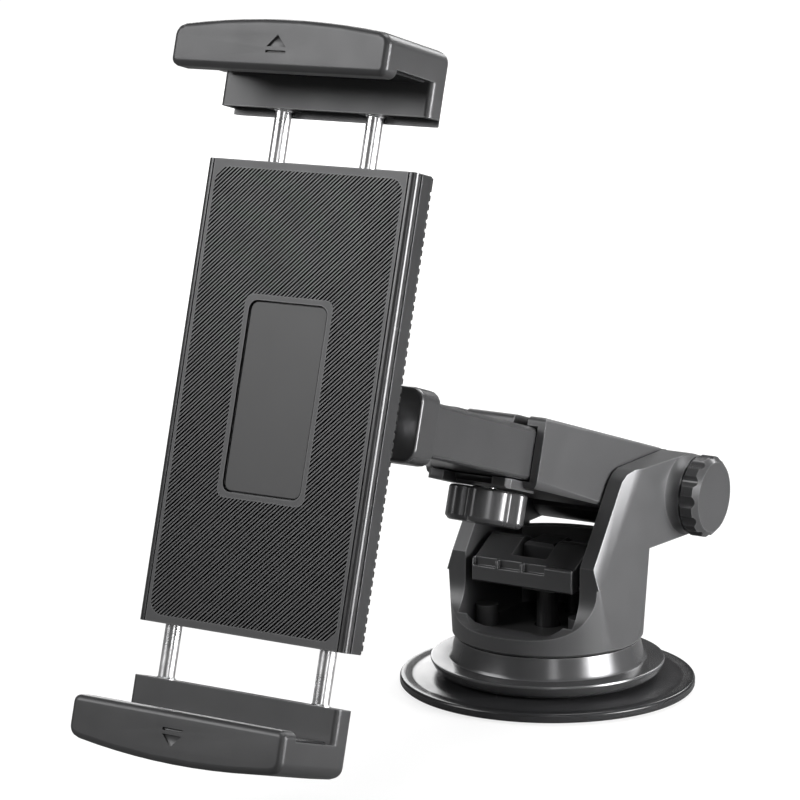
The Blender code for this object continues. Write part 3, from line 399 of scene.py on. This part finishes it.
dark = grained(
    "dark_plastic", (0.080, 0.080, 0.082), roughness=0.24, grain=1500.0, depth=0.000008,
    mottle=0.1, edge_highlight=0.35, metal=0.5,
)
ring_screws = ("base_screw_1", "base_screw_2", "base_screw_3")
bore_radius, bore_length = 0.0015, 0.006
low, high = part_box("base_ring")
outer, foot = high.x, low.z
shelf, neck_top = 0.0076, high.z
hole, roof = 0.0092, neck_top - 0.0024
ring = turned(
    "base_ring_shown",
    [
        # the rolled foot
        (outer - 0.0059, foot), (outer - 0.0030, foot), (outer - 0.0016, foot + 0.0006),
        (outer - 0.0008, foot + 0.0016), (outer - 0.0002, foot + 0.0028),
        # the shelf
        (outer, shelf - 0.0006), (outer - 0.0001, shelf - 0.0002), (outer - 0.0005, shelf),
        (outer - 0.0048, shelf), (outer - 0.0053, shelf + 0.0008),
        # the neck
        (outer - 0.0064, neck_top - 0.0009), (outer - 0.0066, neck_top - 0.0002),
        (outer - 0.0070, neck_top),
        # the hollow inside
        (hole, neck_top), (hole, roof), (outer - 0.0089, roof),
        (outer - 0.0071, shelf - 0.0010), (outer - 0.0059, foot),
    ],
)
for screw in ring_screws:
    low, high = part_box(screw)
    middle = (low + high) / 2
    bpy.ops.mesh.primitive_cylinder_add(
        vertices=32, radius=bore_radius, depth=bore_length, location=(middle.x, middle.y, neck_top)
    )
    cut(ring, newest("bore"))
soften(ring, 0.0, smooth=35.0)
fit(ring, "base", "dark_plastic", dark, "base_ring")


# ------------------------------------------------------- the ring's screws
# Three small screws of bright steel, driven up through the ring into the housing. The cup
# hides their heads.

def metallic(name, colour, roughness, tooth):
    """Bright metal with a very fine tooth and uneven gloss."""
    made, tree, surface = blank(name)
    place = shader(tree, "TexCoord").outputs["Object"]
    cloud = shader(tree, "TexNoise", {"Vector": place, "Scale": 200.0, "Detail": 6.0})
    uneven = cloud.outputs["Fac"]
    gloss = shader(
        tree, "MapRange",
        {"Value": uneven, "To Min": roughness * 0.6, "To Max": roughness * 1.4},
    )
    tone = shader(
        tree, "Mix", {"Factor": uneven, "A": tinted(colour, 0.92), "B": tinted(colour)},
        data_type="RGBA",
    )
    specks = shader(tree, "TexNoise", {"Vector": place, "Scale": 2500.0})
    bump = shader(
        tree, "Bump",
        {"Height": specks.outputs["Fac"], "Strength": tooth, "Distance": 0.000004},
    )
    feed(
        tree, surface,
        {
            "Metallic": 1.0, "Base Color": tone.outputs["Result"],
            "Roughness": gloss.outputs["Result"], "Normal": bump.outputs["Normal"],
        },
    )
    return made


steel = metallic("steel", (0.62, 0.62, 0.63), roughness=0.28, tooth=0.4)
carried("steel", steel, *ring_screws)


# ------------------------------------------------------- the housing
# The foot's moulded body: a scooped front with the lever's mouth, two ears that carry the
# arm, and a flared boss on the right for the knob. Grey ABS with a fine spark grain.

def dressed(node, width, segments=3, angle=30.0, smooth=40.0):
    """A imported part's own mesh as whole faces, with its edges rounded."""
    same_point, same_plane = 0.000002, radians(0.6)
    mesh = frame["nodes"][node].data.copy()
    whole = bmesh.new()
    whole.from_mesh(mesh)
    bmesh.ops.remove_doubles(whole, verts=whole.verts, dist=same_point)
    bmesh.ops.dissolve_limit(
        whole, angle_limit=same_plane, verts=whole.verts, edges=whole.edges
    )
    bmesh.ops.recalc_face_normals(whole, faces=whole.faces)
    whole.to_mesh(mesh)
    whole.free()
    mesh.name = node + "_shown"
    piece = bpy.data.objects.new(node + "_shown", mesh)
    bpy.context.scene.collection.objects.link(piece)
    pick(piece)
    if mesh.has_custom_normals:
        bpy.ops.mesh.customdata_custom_splitnormals_clear()
    return soften(piece, width, segments, angle, smooth)


def dress(node, body, slot, finish, width, segments=3, angle=30.0, smooth=40.0):
    """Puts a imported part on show: its edges rounded, its finish on, riding on its body."""
    fit(dressed(node, width, segments, angle, smooth), body, slot, finish, node)


grey = grained(
    "grey_plastic", (0.085, 0.085, 0.087), roughness=0.40, grain=1500.0, depth=0.00001,
    mottle=0.08, edge_highlight=0.35, metal=0.5,
)
dress("base_housing", "base", "grey_plastic", grey, 0.0004, angle=32.0, smooth=50.0)


# ------------------------------------------------------- the suction lever
# A black bar of moulded ABS across the housing's mouth, with three thumb slots and a crank
# behind. It swings on two steel pins in the housing's walls, and a third is its crank pin.

dress("suction_lever", "lever", "dark_plastic", dark, 0.0003)
carried("steel", steel, "crank_pin", "lever_pin_left", "lever_pin_right")


# ------------------------------------------------------- the lift stem and its spring
# A blackened stem that the crank pin raises, so that it draws the cup up by its boss. A
# coil of spring steel presses the cup back down.

jet_and_arrow_shade = grained(
    "jet_plastic_and_arrow_shade", (0.022, 0.022, 0.023), roughness=0.30, grain=1500.0, depth=0.000008,
    mottle=0.2, edge_highlight=0.4,
)
spring_steel = metallic("spring_steel", (0.45, 0.45, 0.46), roughness=0.3, tooth=0.3)
carried("dark_plastic", jet_and_arrow_shade, "lift_stem")
carried("spring_steel", spring_steel, "cup_spring")


# ------------------------------------------------------- the arm's pivot
# A steel bolt through both ears with a steel nut on its left end, and a nylon washer on
# each side of the sleeve's hub that keeps its turning smooth.

nylon = grained(
    "nylon", (0.62, 0.61, 0.58), roughness=0.5, grain=1200.0, depth=0.00001, mottle=0.04
)
dress("pivot_bolt", "clamp_knob", "steel", steel, 0.0, smooth=50.0)
dress("pivot_nut", "base", "steel", steel, 0.00015, segments=2)
for side in ("left", "right"):
    dress(f"friction_washer_{side}", "base", "nylon", nylon, 0.0001, segments=2)


# ------------------------------------------------------- the pivot knob
# A twelve-fluted hand knob of black ABS on the end of the pivot bolt. It draws the ears
# together on the sleeve's hub.

dress("pivot_knob", "clamp_knob", "dark_plastic", dark, 0.0004)


# ------------------------------------------------------- the arm's sleeve
# The outer half of the arm, moulded in grey ABS and open at its front. Two notches in its
# top let it pinch the inner arm when the lock knob under it is turned.

dress("arm_sleeve", "sleeve", "grey_plastic", grey, 0.0005, angle=32.0)


# ------------------------------------------------------- the lock knob
# A four-lobed hand knob of black ABS under the sleeve, on a steel bolt that draws the
# sleeve's fork together.

dress("arm_lock_knob", "lock_knob", "dark_plastic", dark, 0.0004)
dress("lock_bolt", "lock_knob", "steel", steel, 0.0, smooth=50.0)


# ------------------------------------------------------- the inner arm and its cap
# A black bar of moulded ABS that slides in the sleeve, and the wider cap on its end that
# carries the ball stud.

dress("inner_arm", "telescope", "dark_plastic", dark, 0.0003)
dress("arm_end_cap", "telescope", "dark_plastic", dark, 0.0004)


# ------------------------------------------------------- the ball joint
# A steel ball on the arm's end, gripped between two nylon liners in a black socket on the
# holder's back. A threaded lock ring presses the liners on the ball.

dress("ball_stud", "telescope", "chromed_steel", steel, 0.0, smooth=60.0)
dress("ball_collar", "ball_turn", "nylon", nylon, 0.00015, segments=2)
carried("nylon", nylon, "ball_seat")
dress("ball_socket", "holder", "dark_plastic", jet_and_arrow_shade, 0.0003)
dress("lock_ring", "holder", "dark_plastic", jet_and_arrow_shade, 0.0004)


# ------------------------------------------------------- the holder's frame
# A flat grey case with rounded rails down its sides and a groove behind each rail, moulded
# in ABS with a higher gloss than the foot.

polished = grained(
    "polished_grey", (0.075, 0.075, 0.077), roughness=0.24, grain=1500.0, depth=0.000006,
    mottle=0.08, edge_highlight=0.35, metal=0.5,
)
dress("holder_frame", "holder", "grey_plastic", polished, 0.0003)


# ------------------------------------------------------- the ribbed panel
# A thin panel of grey ABS let into the frame, moulded with fine slanting ribs inside a
# plain border. The grooves between them are painted black as shade, and every second one
# is cut deeper.

# The plate's own frame has x across the plate, y from its front to its back and z up it.
joints = {joint["name"]: joint for joint in frame["joints"]}
ball_to_plate = 0.018
facing = Vector(joints["ball_spin"]["axis"])
upward = Vector(joints["upper_jaw_slide"]["axis"])
across = upward.cross(facing).normalized()
plate = Matrix((across, -facing, upward)).transposed().to_4x4()
plate.translation = Vector(joints["ball_spin"]["pos_m"]) + facing * ball_to_plate
into_plate = plate.inverted()


def span(node):
    """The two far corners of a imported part, measured in the plate's frame."""
    spots = [into_plate @ vertex.co for vertex in frame["nodes"][node].data.vertices]
    near = Vector(min(spot[i] for spot in spots) for i in range(3))
    far = Vector(max(spot[i] for spot in spots) for i in range(3))
    return near, far


def block(name, low, high, corner=0.0, steps=6):
    """A box between two corners, its four edges along y rounded."""
    bpy.ops.object.select_all(action="DESELECT")
    bpy.ops.mesh.primitive_cube_add(size=1.0)
    piece = newest(name)
    middle = (Vector(low) + Vector(high)) / 2
    size = Vector(high) - Vector(low)
    piece.data.transform(Matrix.Translation(middle) @ Matrix.Diagonal((*size, 1)))
    if corner:
        bpy.ops.object.mode_set(mode="EDIT")
        bpy.ops.mesh.select_all(action="DESELECT")
        edit = bmesh.from_edit_mesh(piece.data)
        for edge in edit.edges:
            a, b = edge.verts
            edge.select = abs(a.co.y - b.co.y) > size.y / 2
        bmesh.update_edit_mesh(piece.data)
        bpy.ops.mesh.bevel(offset=corner, segments=steps, affect="EDGES")
        bpy.ops.object.mode_set(mode="OBJECT")
    return piece


def groove(width, foot, depth, shift=0.0):
    """A long cutter that narrows to its foot, its mouth just outside the plane y = 0."""
    length, outside = 0.16, -0.0001
    bpy.ops.mesh.primitive_cylinder_add(vertices=4, radius=1.0, depth=length)
    piece = newest("groove")
    outline = (
        (-width / 2, outside), (width / 2, outside), (foot / 2, depth), (-foot / 2, depth)
    )
    # A new cylinder's points come in pairs, with one at each end.
    for index, vertex in enumerate(piece.data.vertices):
        x, y = outline[index // 2]
        vertex.co = (x + shift, y, vertex.co.z)
    face_out(piece)
    return piece


pitch = 0.000782
slant = radians(42.8)


def grooves(*cutters):
    """A set of cutters repeated at every second pitch across the plate, at the ribs' slant."""
    step, repeats = 2 * pitch, 76
    bpy.ops.object.select_all(action="DESELECT")
    for cutter in cutters:
        cutter.select_set(True)
    comb = cutters[0]
    bpy.context.view_layer.objects.active = comb
    bpy.ops.object.join()
    row = comb.modifiers.new("row", "ARRAY")
    row.use_relative_offset = False
    row.use_constant_offset = True
    row.constant_offset_displace = (step, 0, 0)
    row.count = repeats
    bpy.ops.object.modifier_apply(modifier="row")
    comb.data.transform(Matrix.Translation(((1 - repeats) / 2 * step, 0, 0)))
    comb.data.transform(Matrix.Rotation(pi / 2 - slant, 4, "Y"))
    return comb


coal_and_groove_shade = grained(
    "coal_plastic_and_groove_shade", (0.008, 0.008, 0.008), roughness=0.42, grain=1500.0, depth=0.000008,
    mottle=0.2,
)
deep, shallow = 0.00050, 0.00036
panel_grooves = grooves(
    groove(width=0.00053, foot=0.00038, depth=deep),
    groove(width=0.00042, foot=0.00030, depth=shallow, shift=pitch),
)

# The ribs' field is the panel inside its border, without a band round the label.
panel_low, panel_high = span("front_panel")
border_x, border_z = 0.00095, 0.0019
field_low = panel_low + Vector((border_x, 0, border_z))
field_high = panel_high - Vector((border_x, 0, border_z))
field = block(
    "field", (field_low.x, -0.01, field_low.z), (field_high.x, 0.01, field_high.z),
    corner=0.0037, steps=8,
)
label_low, label_high = span("label_plate")
band = 0.0017
around_label = block(
    "around_label", (label_low.x - band, -0.02, label_low.z - band),
    (label_high.x + band, 0.02, label_high.z + band), corner=0.0022,
)
cut(field, around_label)
cut(panel_grooves, field, "INTERSECT")

panel = dressed("front_panel", 0.00012, segments=2)
panel.data.transform(into_plate)
cut(panel, panel_grooves)
fit(panel, "holder", "grey_plastic", grey, "front_panel")
# The grooves' walls and floors take the near-black finish: painted shade in the grooves.
panel.data.materials.append(coal_and_groove_shade)
for face in panel.data.polygons:
    sunk = face.center.y - panel_low.y
    if field_low.x < face.center.x < field_high.x and 0.00004 < sunk < deep + 0.00005:
        face.material_index = 1
panel.data.transform(plate)
soften(panel, 0.0, smooth=20.0)


# ------------------------------------------------------- the bare label
# A plain plate let into the middle of the panel, a little below its ribs, with a satin
# face and rounded corners.

satin = grained(
    "satin_plastic", (0.078, 0.078, 0.080), roughness=0.36, grain=1700.0, depth=0.000006,
    mottle=0.06,
)
dress("label_plate", "holder", "dark_plastic", satin, 0.00025)


# ------------------------------------------------------- the back cover
# A cover of black ABS over the springs and rods. Its back is ribbed on the same slant, so
# that its edges are serrated, with plain discs round the ball socket and the four screws.

def disc(name, radius, low, high, spot=(0.0, 0.0), steps=48):
    """A round bar along y between two depths, at this place on the plate."""
    bpy.ops.object.select_all(action="DESELECT")
    bpy.ops.mesh.primitive_cone_add(
        vertices=steps, radius1=radius, radius2=radius, depth=high - low
    )
    piece = newest(name)
    piece.data.transform(Matrix.Rotation(-pi / 2, 4, "X"))
    piece.data.transform(Matrix.Translation((spot[0], (low + high) / 2, spot[1])))
    return piece


cover_low, cover_high = span("back_cover")
socket_low, socket_high = span("ball_socket")
back = cover_high.y
skin = back - 0.0008
screw_inset = 0.0042
corners = [
    (x, z)
    for x in (cover_low.x + screw_inset, cover_high.x - screw_inset)
    for z in (cover_low.z + screw_inset, cover_high.z - screw_inset)
]
cover_grooves = grooves(groove(width=0.00080, foot=0.00060, depth=0.00060))
cover_grooves.data.transform(Matrix.Rotation(pi, 4, "Z"))
cover_grooves.data.transform(Matrix.Translation((0, back, 0)))

# Plain discs are left round the socket and round the wells that the screws sit in.
round_socket = (socket_high.x - socket_low.x) / 2 + 0.002
round_screw, well, well_depth = 0.0032, 0.0023, 0.0005
cut(cover_grooves, disc("plain", round_socket, 0.0, 0.02))
for corner in corners:
    cut(cover_grooves, disc("plain", round_screw, 0.0, 0.02, corner, 32))

# The cover is split at its skin, so that the skin takes a finish of its own.
cover = dressed("back_cover", 0.0002)
cover.data.transform(into_plate)
pick(cover)
bpy.ops.object.mode_set(mode="EDIT")
bpy.ops.mesh.select_all(action="SELECT")
bpy.ops.mesh.bisect(plane_co=(0, skin, 0), plane_no=(0, 1, 0))
bpy.ops.object.mode_set(mode="OBJECT")
cut(cover, cover_grooves)
for corner in corners:
    cut(cover, disc("well", well, back - well_depth, back + 0.001, corner, 40))
fit(cover, "holder", "dark_plastic", dark, "back_cover")
cover.data.materials.append(coal_and_groove_shade)
for face in cover.data.polygons:
    if face.center.y > skin:
        face.material_index = 1
cover.data.transform(plate)
soften(cover, 0.0, smooth=20.0)


# ------------------------------------------------------- the cover's screws
# Four steel screws with cross-slotted heads, sunk in the back cover's corners, each driven
# home at its own angle.

head_radius, head_foot, head_top = 0.0019, back - 0.00045, back + 0.0002
slot_reach, slot_half, slot_floor = 0.0012, 0.00025, back - 0.0003
head = disc("cover_screw", head_radius, head_foot, head_top, steps=40)
for angle in (0.0, pi / 2):
    slot = block(
        "slot", (-slot_reach, slot_floor, -slot_half), (slot_reach, back + 0.001, slot_half)
    )
    slot.data.transform(Matrix.Rotation(angle, 4, "Y"))
    cut(head, slot)
soften(head, 0.00012, segments=2)
for index, (x, z) in enumerate(corners):
    screw = bpy.data.objects.new(f"cover_screw_{index + 1}", head.data.copy())
    bpy.context.scene.collection.objects.link(screw)
    screw.data.transform(Matrix.Rotation(0.4 * index, 4, "Y"))
    screw.data.transform(plate @ Matrix.Translation((x, 0, z)))
    fit(screw, "holder", "steel", steel)
bpy.data.objects.remove(head)


# ------------------------------------------------------- the jaws
# Two grey jaws of moulded ABS with arched tops. Each has a deep lip in front with a small
# arrow sunk in it, its sides painted black as shade, and a hollow block behind that holds
# its rods.

arrow_half, arrow_foot, arrow_top, arrow_depth = 0.004, 0.0082, 0.003, 0.0006


def arrow(face, foot, up):
    """The cutters of a jaw's arrow: a bar, and a triangle that points away from the plate."""
    outside, floor = face - 0.001, face + arrow_depth
    bar_left, bar_right, bar_top = -0.0034, 0.0026, foot + up * 0.00065
    half_width, tall, gap, centre = 0.0029, 0.00285, 0.0015, -0.0004
    bar = block(
        "bar", (bar_left, outside, min(foot, bar_top)), (bar_right, floor, max(foot, bar_top))
    )
    # A three-sided bar, stretched to the triangle's width, height and depth.
    tip = disc("tip", 1.0, -1.0, 1.0, steps=3)
    reach = max(vertex.co.x for vertex in tip.data.vertices)
    high = max(vertex.co.z for vertex in tip.data.vertices)
    low = min(vertex.co.z for vertex in tip.data.vertices)
    for vertex in tip.data.vertices:
        x, y, z = vertex.co
        vertex.co = (
            centre + x * half_width / reach,
            floor if y > 0 else outside,
            foot + up * (gap + (high - z) * tall / (high - low)),
        )
    face_out(tip)
    return bar, tip


jaws = {"upper": 1, "lower": -1}
for level, up in jaws.items():
    jaw = f"{level}_jaw"
    piece = dressed(jaw, 0.0004, angle=32.0, smooth=50.0)
    low, high = span(jaw)
    end = high.z if up > 0 else low.z
    piece.data.transform(into_plate)
    for tool in arrow(low.y, end - up * arrow_foot, up):
        cut(piece, tool)
    piece.data.transform(plate)
    soften(piece, 0.0, smooth=50.0)
    fit(piece, jaw, "grey_plastic", grey, jaw)
    # The arrow's sunk walls take the near-black finish: painted shade on the recess's sides.
    piece.data.materials.append(jet_and_arrow_shade)
    for face in piece.data.polygons:
        spot = into_plate @ face.center
        inset, sunk = (end - spot.z) * up, spot.y - low.y
        near = abs(spot.x) < arrow_half and arrow_top < inset < arrow_foot + 0.0003
        if near and 0.00005 < sunk < arrow_depth - 0.00002:
            face.material_index = 1


# ------------------------------------------------------- the jaws' pads
# A block of soft black rubber on each jaw's seat, behind the lip. It grips the device and
# keeps it from being scratched.

for level in jaws:
    dress(f"{level}_jaw_pad", f"{level}_jaw", "black_rubber", rubber, 0.0003)


# ------------------------------------------------------- the guide rods
# Two chromed steel rods fixed in each jaw, with a collar each. They slide in nylon guides
# inside the holder and keep the jaws square.

chrome = metallic("chrome", (0.95, 0.95, 0.96), roughness=0.30, tooth=0.1)
for level in jaws:
    for side in ("left", "right"):
        dress(f"{level}_rod_{side}", f"{level}_jaw", "chromed_steel", chrome, 0.0)
carried("nylon", nylon, "rod_guide_upper", "rod_guide_lower")


# ------------------------------------------------------- the jaws' springs
# Four coils of spring steel, each hooked to the holder at one end and to a jaw's rod at the
# other. They pull the jaws in on the device, and stretch when the jaws are drawn out.

for level, up in jaws.items():
    for side in ("left", "right"):
        node = f"{level}_spring_{side}"
        spring = dressed(node, 0.0, smooth=60.0)
        coat(spring, "spring_steel", spring_steel, node)
        near_end, far_end = span(node)
        middle = (near_end + far_end) / 2
        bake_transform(spring)
